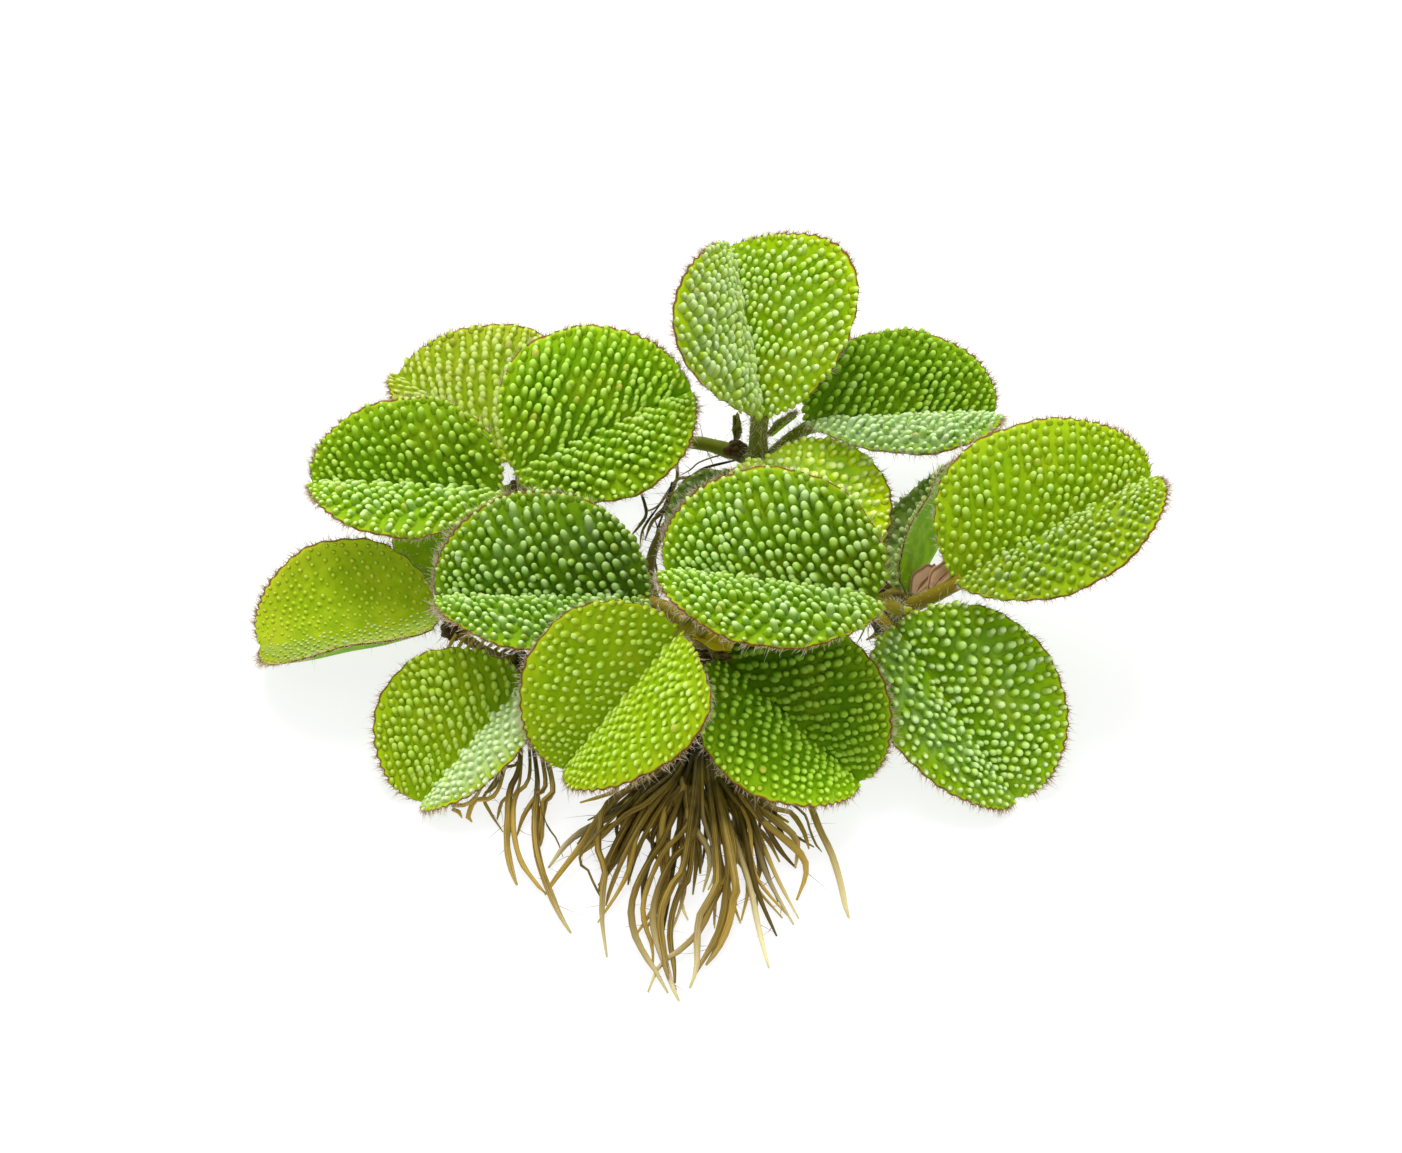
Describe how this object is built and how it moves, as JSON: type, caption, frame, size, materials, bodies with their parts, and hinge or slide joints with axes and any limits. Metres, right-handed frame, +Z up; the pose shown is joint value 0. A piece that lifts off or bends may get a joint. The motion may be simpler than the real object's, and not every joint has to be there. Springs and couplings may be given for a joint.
{
  "type": "salvinia clump",
  "caption": "Floating water fern clump: folded oval leaves with bumpy upper faces on short stalks, thin runners, and a tuft of fine roots trailing to one side.",
  "frame": {"origin": "centre of the clump's outline, on the surface that it rests on", "axes": "with the roots trailing towards the viewer, +X is to the right, +Y away from the viewer and +Z up"},
  "size_m": [0.0913, 0.0808, 0.0264],
  "materials": {
    "leaf_deep": "deep green leaf blade under rows of glossy blunt bumps, satin",
    "leaf_fresh": "fresh green leaf blade, whitish-green bump tips, thin brown hairy edge, satin",
    "leaf_yellow": "yellow-green leaf blade, pale bump tips, thin brown hairy edge, satin",
    "stalk_olive": "olive to straw stalk skin with short fine hairs, dull",
    "runner_brown": "brown-olive stem skin with fine hairs, dull",
    "root_straw": "wet golden-brown root threads with paler tips, soft sheen",
    "root_dark": "dark brown-olive root threads, dull",
    "husk_tan": "dry papery sheath, translucent pinkish tan"
  },
  "bodies": {
    "root": {"leaf_rear_left": "leaf_yellow", "leaf_left_upper": "leaf_fresh", "leaf_left_large": "leaf_deep", "leaf_centre_left": "leaf_deep", "leaf_far_left": "leaf_yellow", "leaf_front_left": "leaf_deep", "leaf_front_middle": "leaf_yellow", "leaf_front_right": "leaf_deep", "leaf_right_low": "leaf_fresh", "leaf_centre": "leaf_fresh", "leaf_rear_tall": "leaf_fresh", "leaf_rear_right": "leaf_deep", "leaf_far_right": "leaf_yellow", "leaf_under_centre": "leaf_fresh", "leaf_low_middle": "leaf_deep", "leaf_upright": "leaf_deep", "leaf_young": "leaf_fresh", "husk_right": "husk_tan", "stalk_rear_left": "stalk_olive", "stalk_left_upper": "stalk_olive", "stalk_left_large": "stalk_olive", "stalk_centre_left": "stalk_olive", "stalk_far_left": "stalk_olive", "stalk_front_left": "stalk_olive", "stalk_front_middle": "stalk_olive", "stalk_front_right": "stalk_olive", "stalk_right_low": "stalk_olive", "stalk_centre": "stalk_olive", "stalk_rear_tall": "stalk_olive", "stalk_rear_right": "stalk_olive", "stalk_far_right": "stalk_olive", "stalk_under_centre": "stalk_olive", "stalk_low_middle": "stalk_olive", "stalk_upright": "stalk_olive", "stalk_young": "stalk_olive", "runner_front": "runner_brown", "runner_middle": "runner_brown", "runner_rear": "stalk_olive", "roots_front_crown": "root_dark", "root_front_1": "root_straw", "root_front_2": "root_straw", "root_front_3": "root_straw", "root_front_4": "root_straw", "root_front_5": "root_straw", "root_front_right": "root_straw", "root_front_crossing": "root_straw", "roots_left_crown": "root_dark", "root_left_1": "root_straw", "root_left_2": "root_straw", "root_left_3": "root_straw", "root_rear_1": "root_dark", "root_rear_2": "root_dark", "root_right_1": "root_dark", "root_right_2": "root_dark"}
  },
  "joints": []
}
